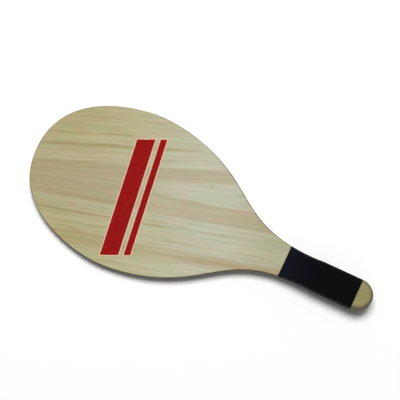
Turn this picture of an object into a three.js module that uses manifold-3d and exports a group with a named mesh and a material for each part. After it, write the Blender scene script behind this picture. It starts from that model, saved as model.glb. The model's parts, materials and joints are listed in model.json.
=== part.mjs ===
// A wooden frescobol racket lying on a flat surface.
//
// The racket is a five-ply plywood board: a wide blade that narrows to a neck and runs on
// through the handle as a tang. Two solid wood cheeks are glued to the tang, and a rubber
// sleeve is pulled over them. Behind the sleeve the handle ends in a rounded wooden butt.
//
// Lengths are in millimetres. In the racket's own frame x runs from the tip of the head to
// the butt, y across the blade, and z through the board, with z = 0 at its mid-plane.

import * as THREE from 'three';
import { mergeVertices } from 'three/addons/utils/BufferGeometryUtils.js';
import Module from 'manifold-3d';

const wasm = await Module();
wasm.setup();

const axisCount = 3;

// Lengths along the racket

const bladeLength = 327;
const sleeveLength = 93;
const buttLength = 20;

// Widths and thicknesses

const bladeWidth = 192.4;
const waistWidth = 36;
const gripWidth = 37.4;
const gripThickness = 25;
const gripCorner = 6.5;

// The neck: how far behind the sleeve's front end the handle is slimmest, how long it takes
// to swell to the grip's full width, and how long the cheeks take to rise off the board

const waistDistance = 29;
const swellLength = 18;
const rampLength = 26;

// The layers of the board, and the glue between any two pieces of wood

const facePlyThickness = 1.4;
const crossPlyThickness = 2;
const corePlyThickness = 1.8;
const glueLine = 0.1;
const easedEdge = 1;

// The sleeve: its wall, its chamfered rims, and its clearance round the wood and at its ends

const sleeveWall = 1.8;
const sleeveRim = 0.5;
const sleeveFit = 0.2;
const endGap = 0.3;

// The cheeks' thin front edge, and the least corner radius of the handle's section

const cheekFeather = 0.4;
const smallCorner = 0.4;

// How far a cutting block reaches past what it cuts

const overrun = 5;

// The blade's outline, as shares of the blade's length and of its half width

const widestShare = 0.376;
const bluntShare = 0.883;
const crownShare = 0.315;
const shoulderShares = [0.424, 0.549, 0.678];
const shoulderWidthShares = [0.974, 0.731];
const throatShares = [0.808, 0.857];
const throatWidthShare = 0.485;

// Facets

const headSteps = 24;
const shoulderSteps = 10;
const throatSteps = 12;
const handleSteps = 20;
const buttSteps = 12;
const quarterTurnSteps = 8;
const easingSteps = 2;
const bisectionSteps = 40;

// Places that follow from the sizes above

const sleeveStart = bladeLength;
const sleeveEnd = sleeveStart + sleeveLength;
const shoulderX = sleeveStart - endGap;
const buttStart = sleeveEnd + endGap;
const racketLength = sleeveEnd + buttLength;
const waistX = sleeveStart + waistDistance;
const swellEnd = waistX + swellLength;

const coreTop = corePlyThickness / 2;
const crossBottom = coreTop + glueLine;
const crossTop = crossBottom + crossPlyThickness;
const faceBottom = crossTop + glueLine;
const boardTop = faceBottom + facePlyThickness;
const cheekBottom = boardTop + glueLine;
const gripTop = gripThickness / 2;
const sleeveGrowth = sleeveWall + sleeveFit;
const coreCorner = gripCorner - sleeveGrowth;
const coreTopAtGrip = gripTop - sleeveGrowth;

// Outline

const bladeHalf = bladeWidth / 2;
const waistHalf = waistWidth / 2;
const gripHalf = gripWidth / 2;
const swellMiddle = (waistX + swellEnd) / 2;

function point(x, y) {
  return new THREE.Vector2(x, y);
}

// One side of the racket: the blunt head, the shoulder, the throat, and the handle's swell.
const sideCurves = [
  new THREE.CubicBezierCurve(
    point(0, 0),
    point(0, bluntShare * bladeHalf),
    point(crownShare * bladeLength, bladeHalf),
    point(widestShare * bladeLength, bladeHalf),
  ),
  new THREE.CubicBezierCurve(
    point(widestShare * bladeLength, bladeHalf),
    point(shoulderShares[0] * bladeLength, bladeHalf),
    point(shoulderShares[1] * bladeLength, shoulderWidthShares[0] * bladeHalf),
    point(shoulderShares[2] * bladeLength, shoulderWidthShares[1] * bladeHalf),
  ),
  new THREE.CubicBezierCurve(
    point(shoulderShares[2] * bladeLength, shoulderWidthShares[1] * bladeHalf),
    point(throatShares[0] * bladeLength, throatWidthShare * bladeHalf),
    point(throatShares[1] * bladeLength, waistHalf),
    point(waistX, waistHalf),
  ),
  new THREE.CubicBezierCurve(
    point(waistX, waistHalf),
    point(swellMiddle, waistHalf),
    point(swellMiddle, gripHalf),
    point(swellEnd, gripHalf),
  ),
];

// Half the racket's outer width at a distance x from the tip of the head.
function halfWidthAt(x) {
  const curve = sideCurves.find((side) => x <= side.v3.x);
  if (!curve) return gripHalf;
  let low = 0;
  let high = 1;
  for (let i = 0; i < bisectionSteps; i += 1) {
    const middle = (low + high) / 2;
    if (curve.getPoint(middle).x < x) low = middle;
    else high = middle;
  }
  return curve.getPoint(high).y;
}

// The wood inside the sleeve is smaller than the handle's outside by the sleeve and its fit.
function coreHalfWidthAt(x) {
  return halfWidthAt(x) - sleeveGrowth;
}

// The wood's half height inside the sleeve: the board alone at the neck, then up the ramp.
function coreTopAt(x) {
  const rise = THREE.MathUtils.smoothstep(x, sleeveStart, sleeveStart + rampLength);
  return THREE.MathUtils.lerp(boardTop, coreTopAtGrip, rise);
}

function coreCornerAt(x) {
  const cheekHeight = coreTopAt(x) - cheekBottom;
  return Math.min(coreCorner, Math.max(cheekHeight, smallCorner));
}

// Places along the sleeve where its section is drawn: close together on the neck.
const stations = [];
for (let i = 0; i <= handleSteps; i += 1) {
  stations.push(THREE.MathUtils.lerp(sleeveStart, swellEnd, i / handleSteps));
}
stations.push(sleeveEnd);

const cheekStations = stations.filter((x) => coreTopAt(x) > cheekBottom + cheekFeather);
const cheekStart = cheekStations[0];

function sampled(curve, steps) {
  return curve.getPoints(steps).slice(0, steps);
}

function bladeSide() {
  const samples = [
    ...sampled(sideCurves[0], headSteps),
    ...sampled(sideCurves[1], shoulderSteps),
    ...sampled(sideCurves[2], throatSteps),
  ];
  const blade = samples.filter((sample) => sample.x < shoulderX - endGap);
  return [...blade, point(shoulderX, halfWidthAt(shoulderX))];
}

function tangSide(from, to) {
  const inside = stations.filter((x) => x > from && x < to);
  return [from, ...inside, to].map((x) => point(x, coreHalfWidthAt(x)));
}

// Behind the sleeve the handle ends in half an ellipse, nearly a half circle.
function buttSide() {
  const side = [];
  for (let i = 0; i <= buttSteps; i += 1) {
    const angle = (Math.PI / 2) * (i / buttSteps);
    const x = buttStart + (racketLength - buttStart) * Math.sin(angle);
    side.push(point(x, gripHalf * Math.cos(angle)));
  }
  return side;
}

// A closed outline from one side of it. Points on the axis aren't repeated.
function mirrored(side) {
  const offAxis = side.filter((place) => Math.abs(place.y) > Number.EPSILON * bladeWidth);
  const other = offAxis.map((place) => point(place.x, -place.y));
  return [...side, ...other.reverse()];
}

const boardOutline = mirrored([...bladeSide(), ...tangSide(shoulderX, buttStart), ...buttSide()]);
const easedOutline = mirrored([...bladeSide(), ...tangSide(shoulderX, swellEnd)]);
const gluedOutline = mirrored([...tangSide(cheekStart, buttStart), ...buttSide()]);
const buttFront = point(buttStart - gripCorner - overrun, gripHalf);
const buttOutline = mirrored([buttFront, ...buttSide()]);

// Solids

function solidOf(geometry) {
  const bare = geometry.clone();
  bare.deleteAttribute('normal');
  bare.deleteAttribute('uv');
  const merged = mergeVertices(bare);
  const vertProperties = merged.getAttribute('position').array;
  const triVerts = Uint32Array.from(merged.getIndex().array);
  return new wasm.Manifold(new wasm.Mesh({ numProp: axisCount, vertProperties, triVerts }));
}

function geometryOf(solid) {
  const mesh = solid.getMesh();
  const geometry = new THREE.BufferGeometry();
  geometry.setAttribute('position', new THREE.BufferAttribute(mesh.vertProperties, axisCount));
  geometry.setIndex(new THREE.BufferAttribute(mesh.triVerts, 1));
  return geometry;
}

function plate(outline, bottom, top) {
  const shape = new THREE.Shape(outline);
  const geometry = new THREE.ExtrudeGeometry(shape, { depth: top - bottom, bevelEnabled: false });
  return geometry.translate(0, 0, bottom);
}

// A block that holds everything behind the place x and above the height z.
function behindAndAbove(x, z) {
  const length = racketLength - x + overrun;
  const height = gripTop - z + overrun;
  const block = new THREE.BoxGeometry(length, bladeWidth + overrun, height);
  return solidOf(block.translate(x + length / 2, 0, z + height / 2));
}

// A plate with rounded rims. Its lower rim lies below the bottom, where it is cut away later.
function roundedPlate(outline, bottom, top, radius, steps) {
  const depth = top - bottom;
  const geometry = new THREE.ExtrudeGeometry(new THREE.Shape(outline), {
    depth,
    bevelThickness: radius,
    bevelSize: radius,
    bevelOffset: -radius,
    bevelSegments: steps,
  });
  return solidOf(geometry.translate(0, 0, top - radius - depth));
}

// A skin over a row of rings with equally many points. A ring is a list of Vector3.
function skin(rings, closesOnItself) {
  const count = rings[0].length;
  const positions = rings.flat().flatMap((place) => place.toArray());
  const index = [];
  const bands = closesOnItself ? rings.length : rings.length - 1;
  for (let i = 0; i < bands; i += 1) {
    const here = i * count;
    const next = ((i + 1) % rings.length) * count;
    for (let j = 0; j < count; j += 1) {
      const k = (j + 1) % count;
      index.push(here + j, here + k, next + k);
      index.push(here + j, next + k, next + j);
    }
  }
  if (!closesOnItself) {
    const last = (rings.length - 1) * count;
    for (let j = 1; j < count - 1; j += 1) {
      index.push(0, j + 1, j);
      index.push(last, last + j, last + j + 1);
    }
  }
  const geometry = new THREE.BufferGeometry();
  geometry.setAttribute('position', new THREE.Float32BufferAttribute(positions, axisCount));
  geometry.setIndex(index);
  return geometry;
}

// A quarter of a corner's arc, from the angle start on, round the corner's centre.
function corner(x, y, z, radius, start) {
  const arc = [];
  for (let i = 0; i <= quarterTurnSteps; i += 1) {
    const angle = start + (Math.PI / 2) * (i / quarterTurnSteps);
    arc.push(new THREE.Vector3(x, y + radius * Math.cos(angle), z + radius * Math.sin(angle)));
  }
  return arc;
}

// The section of the wood at a station, grown all round, as a ring of points at x.
function handleRing(station, growth, x = station) {
  const radius = coreCornerAt(station) + growth;
  const y = coreHalfWidthAt(station) + growth - radius;
  const z = coreTopAt(station) + growth - radius;
  return [
    ...corner(x, y, z, radius, 0),
    ...corner(x, -y, z, radius, Math.PI / 2),
    ...corner(x, -y, -z, radius, Math.PI),
    ...corner(x, y, -z, radius, Math.PI * 1.5),
  ];
}

// The part of the wood's section that lies above the board.
function cheekRing(x) {
  const radius = coreCornerAt(x);
  const halfWidth = coreHalfWidthAt(x);
  const y = halfWidth - radius;
  const z = coreTopAt(x) - radius;
  return [
    new THREE.Vector3(x, -halfWidth, cheekBottom),
    new THREE.Vector3(x, halfWidth, cheekBottom),
    ...corner(x, y, z, radius, 0),
    ...corner(x, -y, z, radius, Math.PI / 2),
  ];
}

// The face ply is eased round the blade, and square where the cheek is glued to it.
function facePly() {
  const blade = roundedPlate(easedOutline, faceBottom, boardTop, easedEdge, easingSteps);
  const trimmed = blade.intersect(behindAndAbove(-overrun, faceBottom));
  return geometryOf(trimmed.add(solidOf(plate(gluedOutline, faceBottom, boardTop))));
}

// The cheek has the sleeve's bore for its outside, and steps up to full size at the butt.
function handleCheek() {
  const places = [...cheekStations, buttStart + sleeveWall];
  const underSleeve = solidOf(skin(places.map(cheekRing), false));
  const butt = roundedPlate(buttOutline, cheekBottom, gripTop, gripCorner, quarterTurnSteps);
  const buttEnd = butt.intersect(behindAndAbove(buttStart, cheekBottom));
  return geometryOf(underSleeve.add(buttEnd));
}

// The sleeve is a tube of rings: the outside from front to back, then the bore back again.
function gripSleeve() {
  const outer = stations.slice(1, -1).map((station) => handleRing(station, sleeveGrowth));
  const inner = stations.map((station) => handleRing(station, sleeveFit));
  const rimGrowth = sleeveGrowth - sleeveRim;
  const rings = [
    handleRing(sleeveStart, rimGrowth),
    handleRing(sleeveStart, sleeveGrowth, sleeveStart + sleeveRim),
    ...outer,
    handleRing(sleeveEnd, sleeveGrowth, sleeveEnd - sleeveRim),
    handleRing(sleeveEnd, rimGrowth),
    ...inner.reverse(),
  ];
  return skin(rings, true);
}

// Materials

function material(color, roughness) {
  return new THREE.MeshStandardMaterial({ color, roughness, metalness: 0 });
}

const faceVeneer = material('#c0b58f', 0.5);
const crossVeneer = material('#a9946a', 0.75);
const coreVeneer = material('#b8a57a', 0.7);
const cheekWood = material('#a89a6c', 0.55);
const gripRubber = material('#14161a', 0.65);

// Assembly

const racket = new THREE.Group();

function addPiece(name, geometry, surface, isRear) {
  const mesh = new THREE.Mesh(geometry, surface);
  mesh.name = name;
  mesh.rotation.x = isRear ? Math.PI : 0;
  racket.add(mesh);
}

const face = facePly();
const cross = plate(boardOutline, crossBottom, crossTop);
const core = plate(boardOutline, -coreTop, coreTop);
const cheek = handleCheek();

addPiece('front_face_ply', face, faceVeneer, false);
addPiece('front_cross_ply', cross, crossVeneer, false);
addPiece('core_ply', core, coreVeneer, false);
addPiece('rear_cross_ply', cross, crossVeneer, true);
addPiece('rear_face_ply', face, faceVeneer, true);
addPiece('front_handle_cheek', cheek, cheekWood, false);
addPiece('rear_handle_cheek', cheek, cheekWood, true);
addPiece('grip_sleeve', gripSleeve(), gripRubber, false);

// The racket lies on the edge of its head and on the underside of its sleeve, so it leans by
// the steepest line from that edge to the sleeve.
const leans = stations.map((x) => {
  const drop = coreTopAt(x) + sleeveGrowth - boardTop;
  return Math.atan2(drop, x - easedEdge);
});
racket.rotation.y = -Math.max(...leans);

// It is set down with the middle of its outline over the origin.
const bounds = new THREE.Box3().setFromObject(racket, true);
const middle = bounds.getCenter(new THREE.Vector3());
racket.position.set(-middle.x, -middle.y, -bounds.min.z);

const part = new THREE.Group();
part.add(racket);

export default part;
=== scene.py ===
# %% [markdown]
# # A wooden beach racket
#
# The racket is a plywood blade with a short handle. Two cheeks of solid wood make the handle
# thick, a black rubber sleeve covers most of it, and the cheeks end in a rounded butt. The
# packed model holds every piece at its real size and place. This script gives each piece its
# finish: fair curves, sanded edges, veneer with its grain, varnish and rubber.
#
# The frame comes first. It stays as it is.

# %% Load the frame
import json
import math

import bmesh
import bpy
from mathutils import Matrix, Vector


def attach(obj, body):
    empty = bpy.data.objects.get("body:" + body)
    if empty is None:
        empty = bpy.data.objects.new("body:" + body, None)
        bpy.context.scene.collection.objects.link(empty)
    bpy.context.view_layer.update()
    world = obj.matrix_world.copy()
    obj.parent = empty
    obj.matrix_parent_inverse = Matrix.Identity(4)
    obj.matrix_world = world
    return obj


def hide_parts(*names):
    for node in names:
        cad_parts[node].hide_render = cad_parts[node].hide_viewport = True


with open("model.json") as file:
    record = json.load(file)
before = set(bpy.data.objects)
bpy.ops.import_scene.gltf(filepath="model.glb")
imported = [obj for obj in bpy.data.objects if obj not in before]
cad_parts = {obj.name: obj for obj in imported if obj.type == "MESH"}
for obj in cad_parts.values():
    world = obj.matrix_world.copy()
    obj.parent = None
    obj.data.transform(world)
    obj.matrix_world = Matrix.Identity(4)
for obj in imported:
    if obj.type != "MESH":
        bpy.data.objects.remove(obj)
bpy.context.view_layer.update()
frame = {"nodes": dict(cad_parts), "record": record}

MM = 0.001
print("Pieces in the frame:", ", ".join(sorted(frame["nodes"])))

# %% [markdown]
# ## A bench to work on
#
# The racket lies on the edge of its head and on its thicker handle, so it leans a little. It
# is easier to shape a board that is level, with its length along X and its middle layer at
# height zero. The lean could be typed in, but the record already holds it: a mount gives the
# direction that the blade's face looks in. One matrix takes a mesh to this bench, and its
# inverse puts it back exactly where it was.

# %% Find the bench
mounts = {mount["name"]: mount for mount in frame["record"]["mounts"]}
face_up = Vector(mounts["blade_front_face"]["axis"])
lean = math.atan2(-face_up.x, face_up.z)
levelled = Matrix.Rotation(lean, 4, "Y")


def levelled_corners(node):
    """The lowest and highest corner of a node once the racket is level."""
    places = [levelled @ vertex.co for vertex in frame["nodes"][node].data.vertices]
    low = Vector(min(place[axis] for place in places) for axis in range(3))
    high = Vector(max(place[axis] for place in places) for axis in range(3))
    return low, high


core_low, core_high = levelled_corners("core_ply")
bench_origin = Vector((core_low.x, 0, (core_low.z + core_high.z) / 2))
to_bench = Matrix.Translation(-bench_origin) @ levelled
to_place = to_bench.inverted()
racket_length = core_high.x - core_low.x
blade_width = core_high.y - core_low.y


def bench_range(node):
    """How far a node reaches on the bench, along the racket and through it."""
    low, high = levelled_corners(node)
    return low - bench_origin, high - bench_origin


sleeve_low, sleeve_high = bench_range("grip_sleeve")
print(f"The racket leans {math.degrees(lean):.2f} degrees.")
print(f"It is {racket_length / MM:.1f} mm long and {blade_width / MM:.1f} mm wide.")

# %% [markdown]
# ## The camera
#
# The picture is taken from nearly overhead with a long lens, so the racket's width hardly
# changes with distance. The camera could be turned by hand, angle by angle. It is steadier to
# say which point it looks at, from which compass direction, how high and how far away, and to
# let a track quaternion work out the turn.

# %% Place the camera
camera_azimuth = math.radians(25.04)
camera_elevation = math.radians(83)
camera_distance = 1805 * MM
camera_aim = Vector((-15.9, 25.35, 0)) * MM

camera_data = bpy.data.cameras.new("camera")
camera_data.lens = 135
camera_data.sensor_width = 36
camera = bpy.data.objects.new("camera", camera_data)
bpy.context.scene.collection.objects.link(camera)
bpy.context.scene.camera = camera


def direction(azimuth, elevation):
    """The direction from the object to something seen at these angles, as the camera counts them."""
    flat = math.cos(elevation)
    return Vector((math.sin(azimuth) * flat, -math.cos(azimuth) * flat, math.sin(elevation)))


camera_back = direction(camera_azimuth, camera_elevation)
camera.location = camera_aim + camera_back * camera_distance
camera.rotation_mode = "QUATERNION"
camera.rotation_quaternion = (-camera_back).to_track_quat("-Z", "Y")
print("The camera stands at", [round(value, 3) for value in camera.location])

# %% [markdown]
# ## Shader maths that reads like maths
#
# A procedural material is a small calculation, but every sum in it is a node. Placing and
# linking those by hand hides the idea. Here a wire stands for an output of a node and knows
# the usual operators, so `1 - mask * 0.5` adds the Math nodes by itself. The reflected forms,
# such as `__rsub__`, are there for a plain number on the left.

# %% Wires
class Wire:
    """An output of a node. Sums and products of wires add the Math nodes that work them out."""

    def __init__(self, recipe, socket):
        self.recipe = recipe
        self.socket = socket

    def of(self, name):
        """Another output of the same node."""
        return Wire(self.recipe, self.socket.node.outputs[name])

    def math(self, operation, *values):
        return self.recipe.node("ShaderNodeMath", {"operation": operation}, values)

    def __add__(self, other):
        return self.math("ADD", self, other)

    def __sub__(self, other):
        return self.math("SUBTRACT", self, other)

    def __rsub__(self, other):
        return self.math("SUBTRACT", other, self)

    def __mul__(self, other):
        return self.math("MULTIPLY", self, other)

    def __truediv__(self, other):
        return self.math("DIVIDE", self, other)

    def __abs__(self):
        return self.math("ABSOLUTE", self)

    __radd__ = __add__
    __rmul__ = __mul__

    def over(self, other):
        """The larger of two values."""
        return self.math("MAXIMUM", self, other)

    def under(self, other):
        """The smaller of two values."""
        return self.math("MINIMUM", self, other)

    def rise(self, start, end, low=0.0, high=1.0):
        """A soft step: low up to start, high from end on."""
        inputs = {"Value": self, "From Min": start, "From Max": end, "To Min": low, "To Max": high}
        return self.recipe.node("ShaderNodeMapRange", {"interpolation_type": "SMOOTHSTEP"}, inputs)

    def within(self, start, end, soft):
        """A soft window: 1 between start and end, fading over the distance soft at both."""
        return self.rise(start - soft, start + soft) * self.rise(end - soft, end + soft, 1, 0)


print("A wire knows", ", ".join(name for name in vars(Wire) if not name.startswith("_")))

# %% [markdown]
# A recipe is a node tree that is being written. Every other kind of node comes from one method,
# which takes its kind, its settings and what goes into its sockets. Some sockets exist only
# under some settings, so the settings come first.

# %% Recipes
class Recipe:
    """A node tree that is being written."""

    def __init__(self, tree):
        self.tree = tree
        tree.nodes.clear()

    def node(self, kind, settings=(), inputs=()):
        """Adds a node. What goes into its sockets is given by their order or by their names."""
        added = self.tree.nodes.new(kind)
        for name, value in dict(settings).items():
            setattr(added, name, value)
        sockets = [socket for socket in added.inputs if socket.enabled]
        if not isinstance(inputs, dict):
            inputs = dict(enumerate(inputs))
        for key, value in inputs.items():
            by_name = (socket for socket in sockets if socket.name == key)
            socket = sockets[key] if isinstance(key, int) else next(by_name)
            if isinstance(value, Wire):
                self.tree.links.new(value.socket, socket)
            else:
                socket.default_value = value
        shown = [socket for socket in added.outputs if socket.enabled]
        return Wire(self, shown[0]) if shown else None

    def vector(self, x, y, z):
        return self.node("ShaderNodeCombineXYZ", inputs=(x, y, z))

    def blend(self, factor, first, second, how="MIX"):
        """Mixes two colours by a factor from 0 to 1."""
        inputs = {"Factor": factor, "A": first, "B": second}
        return self.node("ShaderNodeMix", {"data_type": "RGBA", "blend_type": how}, inputs)

    def noise(self, where, detail=2.0, roughness=0.5):
        """A soft random pattern round 0.5, one unit coarse."""
        inputs = {"Vector": where, "Scale": 1.0, "Detail": detail, "Roughness": roughness}
        return self.node("ShaderNodeTexNoise", inputs=inputs)


def new_recipe(name):
    """An empty material, and the recipe that fills it."""
    material = bpy.data.materials.new(name)
    material.use_nodes = True
    return material, Recipe(material.node_tree)


print("A recipe knows", ", ".join(name for name in vars(Recipe) if not name.startswith("_")))

# %% [markdown]
# Colours are read off a screen, where 0 to 255 isn't an even scale of light, but a shader needs
# one. A tint is a colour to multiply with. It is given as what it does to a screen's channels,
# so 0.9 makes them about a tenth lower.

# %% Colours
screen_gamma = 2.2


def srgb(red, green, blue):
    """A colour as a screen gives it, from 0 to 255, as the linear values that a shader takes."""
    levels = [value / 255 for value in (red, green, blue)]
    linear = [c / 12.92 if c <= 0.04045 else ((c + 0.055) / 1.055) ** 2.4 for c in levels]
    return (*linear, 1.0)


def tint(red, green, blue):
    """A colour to multiply with, given as what it does to a screen colour's channels."""
    return (red ** screen_gamma, green ** screen_gamma, blue ** screen_gamma, 1.0)


white = srgb(255, 255, 255)
plain_tint = (1.0, 1.0, 1.0, 1.0)
print("A screen's middle grey is", round(srgb(128, 128, 128)[0], 3), "in a shader.")

# %% [markdown]
# ## Floor, lamps and surroundings
#
# A product picture needs a plain white ground that still takes a soft shadow. More light would
# whiten the ground but burn out the wood. So the ground itself is white to the camera, and a
# little greyer to light that bounces off it. Far from the racket it shines by itself, because
# the lamp fades there. It is seen from above only, so that the racket can be looked at from
# below too.

# %% Make the floor
floor_half = 6.0
bright_from = 0.55
bright_to = 1.3
bounce_grey = srgb(230, 230, 230)


def seen(recipe):
    """1 where a ray comes from the camera, or from it by way of metal or glass."""
    ray = recipe.node("ShaderNodeLightPath")
    direct = ray.of("Is Camera Ray")
    return direct.over(ray.of("Is Glossy Ray")).over(ray.of("Is Transmission Ray"))


floor_mesh = bmesh.new()
bmesh.ops.create_grid(floor_mesh, x_segments=1, y_segments=1, size=floor_half)
floor_data = bpy.data.meshes.new("floor")
floor_mesh.to_mesh(floor_data)
floor_mesh.free()
floor = bpy.data.objects.new("floor", floor_data)
bpy.context.scene.collection.objects.link(floor)

floor_paint, recipe = new_recipe("floor_paint")
looked_at = seen(recipe)
place = recipe.node("ShaderNodeTexCoord").of("Object")
distance = recipe.node("ShaderNodeVectorMath", {"operation": "LENGTH"}, (place,)).of("Value")
ground_colour = recipe.blend(looked_at, bounce_grey, white)
diffuse = recipe.node("ShaderNodeBsdfDiffuse", inputs={"Color": ground_colour})
shining = recipe.node("ShaderNodeEmission", inputs={"Color": white, "Strength": 1.0})
far = distance.rise(bright_from, bright_to) * looked_at
ground = recipe.node("ShaderNodeMixShader", inputs=(far, diffuse, shining))
clear = recipe.node("ShaderNodeBsdfTransparent")
below = recipe.node("ShaderNodeNewGeometry").of("Backfacing")
one_sided = recipe.node("ShaderNodeMixShader", inputs=(below, ground, clear))
recipe.node("ShaderNodeOutputMaterial", inputs={"Surface": one_sided})
floor.data.materials.append(floor_paint)
print("The floor is", 2 * floor_half, "m across.")

# %% [markdown]
# One big soft lamp hangs high beyond the top of the picture. Its light comes down at a slant,
# so each lower edge throws a short soft shadow. A lamp's strength could be found by trial. For
# a small lamp far away it follows from the distance: its power, divided by the squares of pi
# and of the distance, is how bright a white card looks that faces it. The ends of a wide lamp
# are farther off and seen at a slant, and that loss has a formula too. The table is lit at a
# slant, so it gets less than the card by the sine of the lamp's height. The rest of the light
# comes from all round. The lamp itself is hidden from reflections, because its glare in the
# varnish would wash out the grain.

# %% Hang the lamp
key_level = 0.875
fill_level = 0.165
lamp_distance = 8.0
lamp_width = 4.5
lamp_depth = 3.3
lamp_elevation = math.radians(66.3)
lamp_back = direction(camera_azimuth + math.pi, lamp_elevation)
half_spread = lamp_width / 2 / lamp_distance
slant_loss = (1 / (1 + half_spread ** 2) + math.atan(half_spread) / half_spread) / 2

lamp_data = bpy.data.lights.new("key_lamp", "AREA")
lamp_data.shape = "RECTANGLE"
lamp_data.size = lamp_width
lamp_data.size_y = lamp_depth
facing_power = key_level * (math.pi * lamp_distance) ** 2
lamp_data.energy = facing_power / math.sin(lamp_elevation) / slant_loss
lamp = bpy.data.objects.new("key_lamp", lamp_data)
lamp.visible_glossy = False
bpy.context.scene.collection.objects.link(lamp)
lamp.location = lamp_back * lamp_distance
lamp.rotation_mode = "QUATERNION"
lamp.rotation_quaternion = (-lamp_back).to_track_quat("-Z", "Y")
print(f"The key lamp gives {lamp_data.energy:.0f} W from {lamp_distance} m.")

# %% [markdown]
# The surroundings are white walls under a dim ceiling. The camera sees them white in every
# direction. Varnish and rubber reflect them too, but what lies overhead is dim, or black
# rubber would look grey.

# %% Make the surroundings
ceiling_from = 0.05
ceiling_to = 0.6

world = bpy.data.worlds.new("studio")
world.use_nodes = True
bpy.context.scene.world = world
recipe = Recipe(world.node_tree)
ray = recipe.node("ShaderNodeLightPath")
mirrored = ray.of("Is Glossy Ray").over(ray.of("Is Transmission Ray"))
towards = recipe.node("ShaderNodeTexCoord").of("Generated")
height = recipe.node("ShaderNodeSeparateXYZ", inputs=(towards,)).of("Z")
walls = mirrored * height.rise(ceiling_from, ceiling_to, 1, 0)
whiteness = ray.of("Is Camera Ray").over(walls)
strength = whiteness * (1 - fill_level) + fill_level
background = recipe.node("ShaderNodeBackground", inputs={"Color": white, "Strength": strength})
recipe.node("ShaderNodeOutputWorld", inputs={"Surface": background})
bpy.context.scene.view_settings.view_transform = "Standard"
print("The fill is", fill_level, "of full white.")

# %% [markdown]
# ## Taking a piece to the bench and back
#
# A node of the frame is a heap of loose triangles. A copy of it becomes a workable mesh once
# its doubles are merged and the triangles of each flat side are dissolved into one face.

# %% Take a piece to the bench
merge_distance = 0.02 * MM
flat_angle = math.radians(0.3)
sharp_angle = math.radians(32)


def merged_copy(node):
    """A node's mesh on the bench, with whole flat faces."""
    mesh = bmesh.new()
    mesh.from_mesh(frame["nodes"][node].data)
    bmesh.ops.remove_doubles(mesh, verts=mesh.verts, dist=merge_distance)
    bmesh.ops.dissolve_limit(mesh, angle_limit=flat_angle, verts=mesh.verts, edges=mesh.edges)
    mesh.transform(to_bench)
    mesh.normal_update()
    return mesh


def is_level(edge):
    first, second = edge.verts
    return abs(first.co.z - second.co.z) < merge_distance


print("Corners count as sharp from", round(math.degrees(sharp_angle)), "degrees.")

# %% [markdown]
# When the work is done the mesh goes back to its place and stands in for its node. Edges are
# shaded smooth unless they are sharper than the angle above. A Weighted Normal modifier keeps
# a big flat side evenly lit where a small round meets it.

# %% Put a piece back in its place
def finish_piece(mesh, name, node):
    """Puts a mesh back in its place as a piece that stands for a node."""
    bmesh.ops.recalc_face_normals(mesh, faces=mesh.faces)
    for edge in mesh.edges:
        edge.smooth = edge.is_manifold and edge.calc_face_angle() < sharp_angle
    for face in mesh.faces:
        face.smooth = True
    mesh.transform(to_place)
    open_edges = sum(1 for edge in mesh.edges if not edge.is_manifold)
    data = bpy.data.meshes.new(name)
    mesh.to_mesh(data)
    mesh.free()
    piece = bpy.data.objects.new(name, data)
    bpy.context.scene.collection.objects.link(piece)
    weighted = piece.modifiers.new("flat sides stay flat", "WEIGHTED_NORMAL")
    weighted.keep_sharp = True
    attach(piece, "root")
    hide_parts(node)
    print(f"{name}: {len(data.polygons)} faces, {open_edges} open edges")
    return piece


# %% [markdown]
# ## The five plies
#
# All five layers are sawn together, so they have one outline. In the frame it is a polygon
# with sides of up to nine millimetres. Its wall alone, without the two flat sides, is a ribbon
# whose normals point straight out, and subdividing such a ribbon with smoothing bends every
# side into an arc. The corners where the tang steps in under the sleeve are split first, so
# that they stay crisp.

# %% Saw the outline
corner_angle = math.radians(30)
arc_cuts = 2


def is_flat_side(face):
    return abs(face.normal.z) > 0.5


def board_ribbon():
    """The board's wall as a smooth open ribbon, as thick as the middle ply."""
    mesh = merged_copy("core_ply")
    sides = [face for face in mesh.faces if is_flat_side(face)]
    bmesh.ops.delete(mesh, geom=sides, context="FACES")
    uprights = [edge for edge in mesh.edges if not is_level(edge) and not edge.is_boundary]
    corners = [edge for edge in uprights if edge.calc_face_angle() > corner_angle]
    bmesh.ops.split_edges(mesh, edges=corners)
    mesh.normal_update()
    rims = [edge for edge in mesh.edges if is_level(edge)]
    bmesh.ops.subdivide_edges(mesh, edges=rims, cuts=arc_cuts, smooth=1.0, use_grid_fill=True)
    bmesh.ops.remove_doubles(mesh, verts=mesh.verts, dist=merge_distance)
    return mesh


def ply_blank(node):
    """A closed board with the smooth outline, as thick and as high as a ply."""
    low, high = bench_range(node)
    core_bottom, core_top = bench_range("core_ply")
    mesh = board_ribbon()
    stretch = (high.z - low.z) / (core_top.z - core_bottom.z)
    bmesh.ops.scale(mesh, vec=(1, 1, stretch), verts=mesh.verts)
    bmesh.ops.translate(mesh, vec=(0, 0, (low.z + high.z) / 2), verts=mesh.verts)
    bmesh.ops.holes_fill(mesh, edges=[edge for edge in mesh.edges if edge.is_boundary], sides=0)
    bmesh.ops.recalc_face_normals(mesh, faces=mesh.faces)
    return mesh


blank = ply_blank("core_ply")
print("The outline has", len(blank.verts) // 2, "points.")
blank.free()

# %% [markdown]
# The inner plies show only their edges. Sanding takes a hair off each rim, and that leaves the
# fine dark grooves by which plywood is known. A bevel a tenth of a millimetre wide does it.

# %% Make the inner plies
groove = 0.12 * MM


def inner_ply(name, node):
    mesh = ply_blank(node)
    rims = [edge for edge in mesh.edges if is_level(edge)]
    bmesh.ops.bevel(
        mesh, geom=rims, offset=groove, affect="EDGES", segments=1, profile=0.5, material=-1
    )
    return finish_piece(mesh, name, node)


core_layer = inner_ply("core_layer", "core_ply")
front_crossband = inner_ply("front_crossband", "front_cross_ply")
rear_crossband = inner_ply("rear_crossband", "rear_cross_ply")

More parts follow.
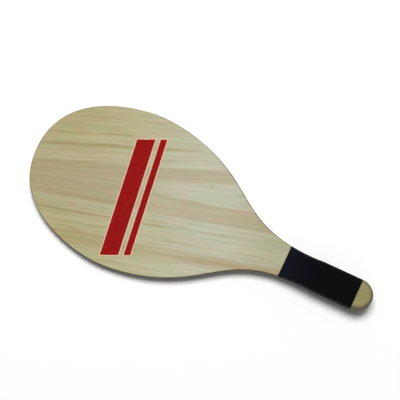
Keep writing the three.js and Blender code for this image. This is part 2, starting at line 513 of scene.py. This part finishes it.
# %% [markdown]
# The two outer veneers are what one sees. Their outer rim is rounded over all round the blade
# with sandpaper, which also wears the varnish thin there. A bevel with several segments makes
# the round, and a narrow inset ring inside it keeps the big flat face truly flat. Each vertex
# also carries a number, 1 on the rim and 0 inside the ring, that the material reads later.

# %% Make the outer veneers
round_over = 0.7 * MM
round_segments = 5
rim_width = 3.0 * MM
rim_end = sleeve_low.x + 8 * MM
near_step = 8 * MM
ring_shift = 0.8 * MM


def straighten_ring(vertex, inside):
    """Draws the ring straight past the step, which is narrower than the ring."""
    outer = [edge.other_vert(vertex) for edge in vertex.link_edges]
    outer = [other for other in outer if other not in inside]
    if abs(outer[0].co.x - sleeve_low.x) < near_step:
        side = math.copysign(1, outer[0].co.y)
        vertex.co = outer[0].co - Vector((ring_shift, side * rim_width, 0))


def outer_veneer(name, node, outward):
    """A face veneer. Outward is 1 for the front and -1 for the rear."""
    mesh = ply_blank(node)
    low, high = bench_range(node)
    shown = max(mesh.faces, key=lambda face: face.normal.z * outward * face.calc_area())
    bmesh.ops.inset_region(mesh, faces=[shown], thickness=rim_width, use_even_offset=True)
    rim = mesh.verts.layers.float.new("rim")
    inside = set(shown.verts)
    for vertex in mesh.verts:
        vertex[rim] = 0.0 if vertex in inside else 1.0
    for vertex in inside:
        straighten_ring(vertex, inside)
    top = high.z if outward > 0 else low.z

    def is_outer_rim(edge):
        ends_at_top = all(abs(vertex.co.z - top) < merge_distance for vertex in edge.verts)
        on_blade = all(vertex.co.x < rim_end for vertex in edge.verts)
        wall = any(not is_flat_side(face) for face in edge.link_faces)
        return ends_at_top and on_blade and wall

    rims = [edge for edge in mesh.edges if is_outer_rim(edge)]
    bmesh.ops.bevel(
        mesh, geom=rims, offset=round_over, affect="EDGES",
        segments=round_segments, profile=0.5, material=-1,
    )
    return finish_piece(mesh, name, node)


front_veneer = outer_veneer("front_veneer", "front_face_ply", 1)
rear_veneer = outer_veneer("rear_veneer", "rear_face_ply", -1)

# %% [markdown]
# ## The cheeks and the butt
#
# Each cheek is solid wood. Under the sleeve it is only a core, and behind it the wood steps up
# to full size and ends in the rounded butt. The frame's solid already has that round, so a
# merged copy is enough, with the step's sharp rim broken by a small bevel.

# %% Make the cheeks
broken_rim = 0.35 * MM
butt_start = sleeve_high.x
end_reach = 0.6 * MM


def cheek(name, node):
    mesh = merged_copy(node)

    def is_step_rim(edge):
        at_step = all(abs(vertex.co.x - butt_start) < end_reach for vertex in edge.verts)
        return at_step and edge.calc_face_angle() > corner_angle and edge.is_convex

    rims = [edge for edge in mesh.edges if edge.is_manifold and is_step_rim(edge)]
    bmesh.ops.bevel(
        mesh, geom=rims, offset=broken_rim, affect="EDGES", segments=2, profile=0.5, material=-1
    )
    return finish_piece(mesh, name, node)


front_cheek = cheek("front_cheek", "front_handle_cheek")
rear_cheek = cheek("rear_cheek", "rear_handle_cheek")

# %% [markdown]
# ## The sleeve
#
# The sleeve is a rubber tube that was stretched over the handle. The frame has its bore, its
# swell and its chamfered ends. Here the chamfers are rounded, because cut rubber has no crisp
# edge.

# %% Make the sleeve
chamfer_round = 0.2 * MM
chamfer_angle = math.radians(20)


def sleeve():
    mesh = merged_copy("grip_sleeve")

    def is_end_rim(edge):
        near_front = all(vertex.co.x < sleeve_low.x + end_reach for vertex in edge.verts)
        near_back = all(vertex.co.x > sleeve_high.x - end_reach for vertex in edge.verts)
        return (near_front or near_back) and edge.calc_face_angle() > chamfer_angle

    rims = [edge for edge in mesh.edges if edge.is_manifold and is_end_rim(edge)]
    bmesh.ops.bevel(
        mesh, geom=rims, offset=chamfer_round, affect="EDGES", segments=2, profile=0.5, material=-1
    )
    return finish_piece(mesh, "rubber_sleeve", "grip_sleeve")


rubber_sleeve = sleeve()

# %% [markdown]
# ## Grain
#
# Peeled pine shows broad bands of pale early wood and tanner late wood, thin dark lines
# between some of them, and fine fibres all over. A wood-ring texture would give even stripes,
# which real veneer never has. So the bands and lines of the front face are listed one by one, as
# distances across the grain in millimetres, and noise that is stretched along the grain does
# the rest.
#
# The grain runs askew to the handle and fans out a little on one side. Both are part of the
# coordinates: once those are turned and fanned, a band is a simple range of one number.

# %% Find a place along and across the grain
def turned_place(recipe, centre, turn):
    """The place in millimetres from a point on the bench, turned about the upright."""
    inputs = {
        "Vector": recipe.node("ShaderNodeTexCoord").of("Object"),
        "Location": tuple(to_place @ centre),
        "Rotation": (0, 0, turn),
        "Scale": (MM, MM, MM),
    }
    vector = recipe.node("ShaderNodeMapping", {"vector_type": "TEXTURE"}, inputs)
    along = recipe.node("ShaderNodeSeparateXYZ", inputs=(vector,))
    return along, along.of("Y"), along.of("Z")


blade_middle = Vector((0.28 * racket_length, 0, 0))
print("The grain's middle is at", [round(value, 3) for value in to_place @ blade_middle])

# %% [markdown]
# Every wooden piece uses the same two noises. Fibres are half a millimetre wide and some
# twenty long. Growth streaks are a few millimetres wide and as long as the blade. Both only
# make a colour a little darker or lighter, so they scale it as a vector. Flecks are a third
# noise with a threshold: short dashes where the knife has nicked a darker layer.
#
# A noise is one unit coarse, so millimetres are multiplied by how often it changes in each. A
# flat pattern needs no depth: the third number then only picks a slice of the noise, and
# patterns with different slices don't look alike.

# %% Fibres, growth streaks and flecks
fibre_rate = {"along": 0.045, "across": 2.0}
growth_rate = {"along": 0.008, "across": 0.30}
fleck_rate = {"along": 0.03, "across": 0.75}
slice_of = {"wander": 0.0, "ink": 2.4, "late wood": 3.7, "flecks": 5.3, "blotches": 8.1}


def stretched(recipe, rate, along, across, through):
    """A place to read a noise at, so that the noise is drawn out along the grain."""
    return recipe.vector(along * rate["along"], across * rate["across"], through * rate["across"])


def fibre_noise(recipe, along, across, through):
    where = stretched(recipe, fibre_rate, along, across, through)
    return recipe.noise(where, detail=3.0, roughness=0.6)


def growth_noise(recipe, along, across, through):
    where = stretched(recipe, growth_rate, along, across, through)
    return recipe.noise(where, detail=3.0, roughness=0.55)


def flat_noise(recipe, rate, along, across, layer, detail=2.0):
    """A noise over the flat face only."""
    where = recipe.vector(along * rate["along"], across * rate["across"], slice_of[layer])
    return recipe.noise(where, detail)


def fleck_noise(recipe, along, across):
    return flat_noise(recipe, fleck_rate, along, across, "flecks", detail=1.0).rise(0.55, 0.68)


def shaded(recipe, colour, tone, amount):
    """A colour made darker or lighter by a noise round 0.5."""
    inputs = {"Vector": colour, "Scale": 1 + (tone - 0.5) * amount}
    return recipe.node("ShaderNodeVectorMath", {"operation": "SCALE"}, inputs)


def tinted(recipe, colour, mask, tint_colour):
    """A colour multiplied by a tint where the mask is 1."""
    filter_colour = recipe.blend(mask, plain_tint, tint_colour)
    return recipe.blend(1.0, colour, filter_colour, "MULTIPLY")


print("Fibres are about", 1 / fibre_rate["across"], "mm wide.")

# %% [markdown]
# ## Varnish
#
# All the wood has one coat of satin varnish. It is a thin clear coat over a rougher ground,
# with the fibres just felt through it as a very shallow bump.

# %% Make the varnish
varnish_weight = 0.22
varnish_roughness = 0.34
fibre_relief = 0.04 * MM
fibre_dulling = 0.12


def varnished(recipe, colour, roughness, height, bare, specular=0.35):
    """The shader of varnished wood. Where bare is 1, sanding has taken the varnish off."""
    relief = {"Strength": 0.4, "Distance": fibre_relief, "Height": height}
    inputs = {
        "Base Color": colour,
        "Roughness": roughness,
        "Normal": recipe.node("ShaderNodeBump", inputs=relief),
        "Specular IOR Level": specular,
        "Coat Weight": (1 - bare) * varnish_weight,
        "Coat Roughness": varnish_roughness,
    }
    surface = recipe.node("ShaderNodeBsdfPrincipled", inputs=inputs)
    recipe.node("ShaderNodeOutputMaterial", inputs={"Surface": surface})


def wear(piece, material):
    """Gives a piece its material."""
    piece.data.materials.append(material)
    print(piece.name, "has", material.name, "with", len(material.node_tree.nodes), "nodes")


print("The fibres stand", fibre_relief / MM, "mm high.")

# %% [markdown]
# ## The face veneers
#
# These tables describe the two faces. A band is tan wood between two distances across the
# grain. A line is dark late wood at one distance, and it comes and goes along the grain. The
# tongue is a pale wedge that opens inside the widest band, as where a peeled sheet just grazes
# the next ring.

# %% Bands and lines of the front face
front_bands = (
    {"low": -77, "high": -62, "soft": 1.2, "depth": 0.8},
    {"low": -22.5, "high": 29.5, "soft": 1.4, "depth": 1.0},
    {"low": 65, "high": 110, "soft": 2.0, "depth": 0.2},
)
front_lines = (
    {"at": 65.2, "half": 1.3, "start": -112, "end": 0, "fade": 25, "depth": 0.95},
    {"at": 51.0, "half": 1.9, "start": -118, "end": 62, "fade": 38, "depth": 1.45},
    {"at": 42.6, "half": 1.0, "start": -95, "end": 90, "fade": 30, "depth": 0.45},
    {"at": 30.6, "half": 2.6, "start": -112, "end": -25, "fade": 20, "depth": 0.55},
    {"at": -2.6, "half": 1.1, "start": 62, "end": 160, "fade": 25, "depth": 0.45},
    {"at": -18.5, "half": 2.0, "start": -115, "end": -15, "fade": 18, "depth": 0.3},
    {"at": -32.4, "half": 1.0, "start": -110, "end": 80, "fade": 20, "depth": 0.6},
    {"at": -37.8, "half": 1.2, "start": -108, "end": 55, "fade": 18, "depth": 1.1},
    {"at": -50.8, "half": 1.6, "start": -90, "end": -20, "fade": 20, "depth": 0.4},
    {"at": -61.5, "half": 2.2, "start": -95, "end": -30, "fade": 20, "depth": 0.4},
    {"at": -53.6, "half": 1.0, "start": 45, "end": 165, "fade": 25, "depth": 0.65},
    {"at": -69.5, "half": 1.8, "start": -90, "end": 120, "fade": 30, "depth": 0.3},
    {"at": -68.5, "half": 4.5, "start": 85, "end": 190, "fade": 30, "depth": 0.75},
)
tongue = {"middle": 5.8, "half": 7.2, "soft": 1.5, "start": -30, "end": 60}
knot = {"along": 97, "across": 16.0, "length": 3.0, "width": 2.1}
print(len(front_bands), "bands and", len(front_lines), "lines in front")

# %% Bands and lines of the rear face
rear_bands = (
    {"low": -100, "high": -71, "soft": 2.5, "depth": 0.6},
    {"low": -43, "high": -17, "soft": 1.5, "depth": 0.95},
    {"low": 14, "high": 37, "soft": 1.8, "depth": 0.9},
    {"low": 58, "high": 71, "soft": 1.2, "depth": 0.7},
)
rear_lines = (
    {"at": -71.5, "half": 1.4, "start": -120, "end": 60, "fade": 30, "depth": 0.6},
    {"at": -55.0, "half": 1.0, "start": -60, "end": 130, "fade": 30, "depth": 0.5},
    {"at": -42.5, "half": 1.7, "start": -120, "end": 150, "fade": 40, "depth": 0.9},
    {"at": -4.5, "half": 1.2, "start": -110, "end": 20, "fade": 25, "depth": 0.6},
    {"at": 3.0, "half": 1.0, "start": -20, "end": 190, "fade": 30, "depth": 0.5},
    {"at": 37.0, "half": 1.6, "start": -90, "end": 140, "fade": 40, "depth": 0.85},
    {"at": 47.5, "half": 1.0, "start": -100, "end": 60, "fade": 30, "depth": 0.45},
    {"at": 71.0, "half": 1.5, "start": -60, "end": 90, "fade": 25, "depth": 0.7},
)
print(len(rear_bands), "bands and", len(rear_lines), "lines behind")

# %% [markdown]
# The wood is greyer at the head, palest past the middle of the blade and a little darker
# again at the neck. Tan wood, late wood and flecks are tints, so that they darken whatever tone
# lies under them. The varnish has gone amber towards the sides of the head, and faint blotches
# are a little pinker or greener.

# %% The veneer's tones
head_tone = srgb(178, 173, 140)
middle_tone = srgb(193, 194, 172)
neck_tone = srgb(180, 179, 150)
tan_tint = tint(0.965, 0.922, 0.885)
late_tint = tint(0.925, 0.875, 0.79)
fleck_tint = tint(0.95, 0.925, 0.885)
amber_tint = tint(1.0, 0.985, 0.915)
pink_tint = tint(1.012, 0.984, 0.985)
green_tint = tint(0.984, 1.0, 0.980)
head_to_middle = (-125, 115)
middle_to_neck = (105, 190)
amber_middle = 4
amber_sides = (12, 60)
amber_end = (-30, 90, 1.0, 0.1)
growth_contrast = 0.40
fibre_contrast = 0.20
print("The pale wood goes from", [round(c, 2) for c in head_tone[:3]])
print("to", [round(c, 2) for c in middle_tone[:3]])

# %% [markdown]
# Each entry of the tables becomes a mask from 0 to 1. A band is a soft window in the distance
# across the grain, and a line is a soft crest that fades in and out along it. A slow noise
# breaks the lines up, as no ring is cut at the same depth everywhere.

# %% Masks for bands, tongue and late wood
line_break_rate = {"along": 0.05, "across": 0.12}


def tan_wood(edge, bands):
    """How tan the wood is, from 0 to 1."""
    tan = 0.0
    for band in bands:
        tan = edge.within(band["low"], band["high"], band["soft"]) * band["depth"] + tan
    return tan


def pale_tongue(edge, along):
    """1 inside the pale wedge."""
    opening = along.rise(tongue["start"], tongue["end"])
    outside = abs(edge - tongue["middle"]) - opening * tongue["half"]
    return outside.rise(-tongue["soft"], tongue["soft"], 1, 0) * opening


def late_wood(recipe, edge, along, lines):
    """How dark the thin lines of late wood are, from 0 to about 1."""
    late = 0.0
    for line in lines:
        crest = abs(edge - line["at"]).rise(0, line["half"] * 1.6, 1, 0)
        late = crest * along.within(line["start"], line["end"], line["fade"]) * line["depth"] + late
    broken = flat_noise(recipe, line_break_rate, along, edge, "late wood")
    return late * broken.rise(0.25, 0.6, 0.5, 1.15)


print("Bands are soft over", [band["soft"] for band in front_bands], "mm.")

# %% [markdown]
# The grain's own coordinates are fanned and made to wander a little, and the masks are laid
# over each other like thin washes of paint. A band's edge follows single fibres, because a
# little of their noise is added to the distance that it is measured by.

# %% Mix the veneer's colour
fan = {"from": -10, "to": 20, "low": -0.05, "high": 0.065}
wander_rate = {"along": 0.014, "across": 0.03}
wander_reach = 3.5
ragged_edge = 1.6
blotch_rate = {"along": 0.04, "across": 0.09}


def veneer(recipe, turn, bands, lines, has_tongue):
    """The colour of a veneer, its fibres and its late wood."""
    along, straight, through = turned_place(recipe, blade_middle, turn)
    fanned = straight - along * straight.rise(fan["from"], fan["to"], fan["low"], fan["high"])
    wander = flat_noise(recipe, wander_rate, along, straight, "wander", detail=1.0)
    across = fanned + (wander - 0.5) * wander_reach
    fibres = fibre_noise(recipe, along, across, through)
    growth = growth_noise(recipe, along, across, through)
    edge = across + (fibres - 0.5) * ragged_edge
    pale = pale_tongue(edge, along) if has_tongue else 0.0
    tan = tan_wood(edge, bands) * (1 - pale)
    late = late_wood(recipe, edge, along, lines)

    colour = recipe.blend(along.rise(*head_to_middle), head_tone, middle_tone)
    colour = recipe.blend(along.rise(*middle_to_neck), colour, neck_tone)
    amber = abs(edge - amber_middle).rise(*amber_sides) * along.rise(*amber_end)
    colour = tinted(recipe, colour, amber, amber_tint)
    colour = tinted(recipe, colour, tan, tan_tint)
    colour = tinted(recipe, colour, late * (0.6 + fibres * 0.8), late_tint)
    flecks = fleck_noise(recipe, along, across) * (1 - tan * 0.7) * (1 - pale * 0.8)
    colour = tinted(recipe, colour, flecks, fleck_tint)
    blotches = flat_noise(recipe, blotch_rate, along, across, "blotches")
    hue = recipe.blend(blotches.rise(0.35, 0.65), green_tint, pink_tint)
    colour = recipe.blend(1.0, colour, hue, "MULTIPLY")
    colour = shaded(recipe, colour, growth, growth_contrast)
    colour = shaded(recipe, colour, fibres, fibre_contrast)
    return colour, fibres, late


print("The grain fans out by", fan["high"] - fan["low"], "across the face.")

# %% [markdown]
# Sanding the rim round cuts through the veneer at a slant and takes varnish off, so the rim
# is a shade browner and duller. Its very edge is a thin darker line, and the sawn wall below
# it is darker too. The number that each vertex carries says how near the rim a place is, and
# noise keeps the border from being even. The wall needs no number: it is where the surface
# looks sideways, which the normal tells. On one side of the front the line is darker still:
# that is painted shade, a shadow line painted along that side of the rim. It sets in before
# the neck and stays clear of the middle, and that is a range along the blade and a range
# across it.

# %% Sand the rim and paint shade on one side
rim_tint = tint(0.93, 0.91, 0.87)
line_tint = tint(0.80, 0.80, 0.80)
wall_tint = tint(0.86, 0.84, 0.80)
# Painted shade: a darker line painted along one side of the front rim, towards the neck.
painted_shade_tint = tint(0.70, 0.70, 0.71)
painted_shade_reach = {"along": (175, 225), "across": (10, 30)}
rim_steepness = (0.72, 0.985)


def steepness(recipe, steep, level):
    """0 where the surface looks up or down, and 1 where it is steep."""
    looks = recipe.node("ShaderNodeTexCoord").of("Normal")
    upward = recipe.node("ShaderNodeSeparateXYZ", inputs=(looks,)).of("Z")
    return abs(upward).rise(steep, level, 1, 0)


def painted_shade_side(recipe):
    """1 on one side of the blade towards the neck, counted from the head's tip: where shade is
    painted on the rim.
    """
    along, across, _ = turned_place(recipe, Vector((0, 0, 0)), 0)
    return along.rise(*painted_shade_reach["along"]) * across.rise(*painted_shade_reach["across"])


def rim_sanding_and_shade(recipe, colour, fibres, painted_shade=0.0):
    """The colour with a browner rim, with painted shade on the rim where the last argument is 1, and
    how much rim there is at each place.
    """
    carried = recipe.node("ShaderNodeAttribute", {"attribute_name": "rim"}).of("Fac")
    rim = (carried + (fibres - 0.5) * 0.5).rise(0.55, 1.0)
    colour = tinted(recipe, colour, rim, rim_tint)
    colour = tinted(recipe, colour, carried.rise(0.65, 0.92), line_tint)
    # Painted shade: the rim is darkened further where the last argument is 1.
    colour = tinted(recipe, colour, carried.rise(0.4, 0.95) * painted_shade, painted_shade_tint)
    return tinted(recipe, colour, steepness(recipe, *rim_steepness), wall_tint), rim


print("The rim is tinted", [round(c, 2) for c in rim_tint[:3]])

# %% [markdown]
# The blade carries a screen print in one red ink with a cream edge: two plain slanted stripes
# of different widths. They could be a thin mesh laid on the wood, but ink has no thickness that
# shows, so they are a mask in the veneer's material. Each stripe is a slanted box: a place is
# inside it if both its distance from the middle line and its distance from the middle of its
# length are small enough. The larger of the two, less the box's half size, says how far outside
# a place lies. The cream edge is simply all that lies nearer than its width. The ink is duller
# than the varnish, and it lies a little thicker in some places than in others.

# %% Print the stripes
print_centre = Vector((132 * MM, -6 * MM, 0))
print_turn = math.radians(7.5)
print_slant = 0.30
cream_width = 1.3
ink_blur = 0.25
ink_dulling = 0.8
ink_rate = {"along": 0.16, "across": 0.16}
ink_fibres = 0.4
ink_patches = 0.45
stripes = (
    {"middle": -7.5, "width": 21, "length": 146},
    {"middle": 13.0, "width": 7.5, "length": 146},
)
ink_red = srgb(148, 16, 15)
ink_cream = srgb(222, 190, 160)


def outside_stripes(across, along):
    """How far a place lies outside the nearest stripe, in millimetres."""
    nearest = None
    for stripe in stripes:
        side = abs(across - stripe["middle"]) - stripe["width"] / 2
        end = abs(along - across * print_slant) - stripe["length"] / 2
        outside = side.over(end)
        nearest = nearest.under(outside) if nearest else outside
    return nearest


def red_ink(recipe, across, along, fibres):
    """The ink's red, with the fibres and its uneven cover showing faintly."""
    cover = flat_noise(recipe, ink_rate, across, along, "ink")
    through_ink = shaded(recipe, ink_red[:3], fibres, ink_fibres)
    return shaded(recipe, through_ink, cover, ink_patches)


print(len(stripes), "stripes,", stripes[0]["length"], "mm long")

# %% [markdown]
# The front face puts it together: veneer, a pin knot, the sanded rim with painted shade on one
# side, and the print over all of it. The rear face has its own grain and no print.

# %% Make the front veneer's material
grain_turn = math.radians(17.5)
face_roughness = 0.50
bare_dulling = 0.3
late_hollow = 0.4
knot_tint = tint(0.95, 0.92, 0.87)


def knot_mask(recipe):
    """1 in a small oval that is longer along the grain."""
    along, across, _ = turned_place(recipe, blade_middle, grain_turn)
    x = (along - knot["along"]) / knot["length"]
    y = (across - knot["across"]) / knot["width"]
    return (x * x + y * y).rise(0.0, 1.7, 1, 0)


front_pine, recipe = new_recipe("front_pine")
colour, fibres, late = veneer(recipe, grain_turn, front_bands, front_lines, True)
colour = tinted(recipe, colour, knot_mask(recipe), knot_tint)
# The front rim gets its painted shade on one side.
colour, rim = rim_sanding_and_shade(recipe, colour, fibres, painted_shade_side(recipe))
print_across, print_along, _ = turned_place(recipe, print_centre, print_turn)
outside = outside_stripes(print_across, print_along)
colour = recipe.blend((outside - cream_width).rise(-ink_blur, ink_blur, 1, 0), colour, ink_cream)
ink = outside.rise(-ink_blur, ink_blur, 1, 0)
colour = recipe.blend(ink, colour, red_ink(recipe, print_across, print_along, fibres))
bare = rim.over(ink * ink_dulling)
roughness = face_roughness + (fibres - 0.5) * fibre_dulling + bare * bare_dulling
varnished(recipe, colour, roughness, fibres - late * late_hollow, bare)
wear(front_veneer, front_pine)

# %% Make the rear veneer's material
rear_grain_turn = math.radians(-5)

rear_pine, recipe = new_recipe("rear_pine")
colour, fibres, late = veneer(recipe, rear_grain_turn, rear_bands, rear_lines, False)
colour, rim = rim_sanding_and_shade(recipe, colour, fibres)
roughness = face_roughness + (fibres - 0.5) * fibre_dulling + rim * bare_dulling
varnished(recipe, colour, roughness, fibres - late * late_hollow, rim)
wear(rear_veneer, rear_pine)

# %% [markdown]
# ## The edges of the plies and the cheeks
#
# The inner plies show only on the sawn wall. Where a ply's fibres run along the wall it looks
# like the face. Where they run into it, one sees end grain, which drinks varnish and turns
# darker. The material finds that by itself: it compares the way the surface looks with the way
# the fibres run. The cross plies' fibres run across the blade, so their end grain is at its
# sides. The middle ply's is at the head, and the cheeks' is at the tip of the butt. The cheeks
# are also painted greyer where the butt rounds over: that is painted shade on the round.

# %% Make the solid woods
ring_rate = {"along": 0.02, "across": 0.05}
ring_reach = 6
end_grain_from = 0.45
end_grain_to = 0.95
round_shade_range = (0.80, 0.998)
cut_contrast = 0.22
cut_roughness = 0.62
end_dulling = 0.25


def solid_wood(name, centre, turn, side_tone, end_tone, streaks, round_shade):
    """Wood seen from any side, with its fibres in the direction turn."""
    material, recipe = new_recipe(name)
    along, across, through = turned_place(recipe, centre, turn)
    wander = recipe.noise(stretched(recipe, ring_rate, along, across, through), detail=1.0)
    shift = wander * ring_reach
    fibres = fibre_noise(recipe, along, across, through)
    growth = growth_noise(recipe, along, across + shift, through + shift)
    looks = recipe.node("ShaderNodeTexCoord").of("Normal")
    run = (math.cos(turn), math.sin(turn), 0)
    facing = recipe.node("ShaderNodeVectorMath", {"operation": "DOT_PRODUCT"}, (looks, run))
    end = abs(facing.of("Value")).rise(end_grain_from, end_grain_to)
    colour = recipe.blend(end, side_tone, end_tone)
    # Painted shade: steep places, such as the round of the butt, take the round's grey tint.
    colour = tinted(recipe, colour, steepness(recipe, *round_shade_range), round_shade)
    colour = shaded(recipe, colour, growth, streaks)
    colour = shaded(recipe, colour, fibres, cut_contrast)
    roughness = cut_roughness + end * end_dulling + (fibres - 0.5) * fibre_dulling
    varnished(recipe, colour, roughness, fibres, end, specular=0.12)
    return material


# %% Give the inner plies and the cheeks their woods
butt_tip = Vector((racket_length, 0, 0))
# Painted shade for the round of the butt, greying the steep wood.
painted_round_shade = tint(0.80, 0.81, 0.86)

cross_pine = solid_wood(
    "cross_pine", blade_middle, turn=math.radians(90),
    side_tone=srgb(152, 134, 98), end_tone=srgb(106, 86, 58), streaks=0.25, round_shade=plain_tint,
)
core_pine = solid_wood(
    "core_pine", blade_middle, turn=0.0,
    side_tone=srgb(166, 152, 116), end_tone=srgb(118, 99, 69), streaks=0.25, round_shade=plain_tint,
)
cheek_pine = solid_wood(
    "cheek_pine", butt_tip, turn=math.radians(4),
    side_tone=srgb(148, 141, 98), end_tone=srgb(132, 124, 90), streaks=0.42, round_shade=painted_round_shade,
)
wear(core_layer, core_pine)
for piece in (front_crossband, rear_crossband):
    wear(piece, cross_pine)
for piece in (front_cheek, rear_cheek):
    wear(piece, cheek_pine)

# %% [markdown]
# ## Rubber
#
# The sleeve is smooth black rubber with a dull skin. Pure black would lose its shape, and a
# shine would make it plastic. So it is a very dark grey with a wide weak reflection, a painted
# sheen that makes it lighter and a touch bluer towards the neck, and a fine pebble in the bump
# that breaks the highlight.

# %% Make the rubber
rubber_black = srgb(11, 12, 14)
# Painted sheen: the lighter, bluer colour of the rubber towards the neck.
rubber_painted_neck_sheen = srgb(20, 22, 31)
rubber_roughness = 0.72
painted_neck_sheen_reach = 45
patch_rate = {"along": 0.05, "across": 0.07}
pebble_size = 0.35
pebble_relief = 0.03 * MM

black_rubber, recipe = new_recipe("black_rubber")
sleeve_front = Vector((sleeve_low.x, 0, 0))
along, across, through = turned_place(recipe, sleeve_front, 0.0)
patches = recipe.noise(stretched(recipe, patch_rate, along, across, through))
# Painted sheen: lighter and bluer near the neck, in patches.
painted_neck_sheen = along.rise(0, painted_neck_sheen_reach, 1, 0) * patches.rise(0.3, 0.7, 0.4, 1.0)
colour = recipe.blend(painted_neck_sheen, rubber_black, rubber_painted_neck_sheen)
where = recipe.vector(along / pebble_size, across / pebble_size, through / pebble_size)
pebble = recipe.noise(where, detail=2.0)
relief = {"Strength": 0.5, "Distance": pebble_relief, "Height": pebble}
inputs = {
    "Base Color": colour,
    "Roughness": rubber_roughness + (patches - 0.5) * 0.15,
    "Normal": recipe.node("ShaderNodeBump", inputs=relief),
    "Specular IOR Level": 0.08,
}
surface = recipe.node("ShaderNodeBsdfPrincipled", inputs=inputs)
recipe.node("ShaderNodeOutputMaterial", inputs={"Surface": surface})
wear(rubber_sleeve, black_rubber)

# %% [markdown]
# ## Finish
#
# A finish must not change a size.
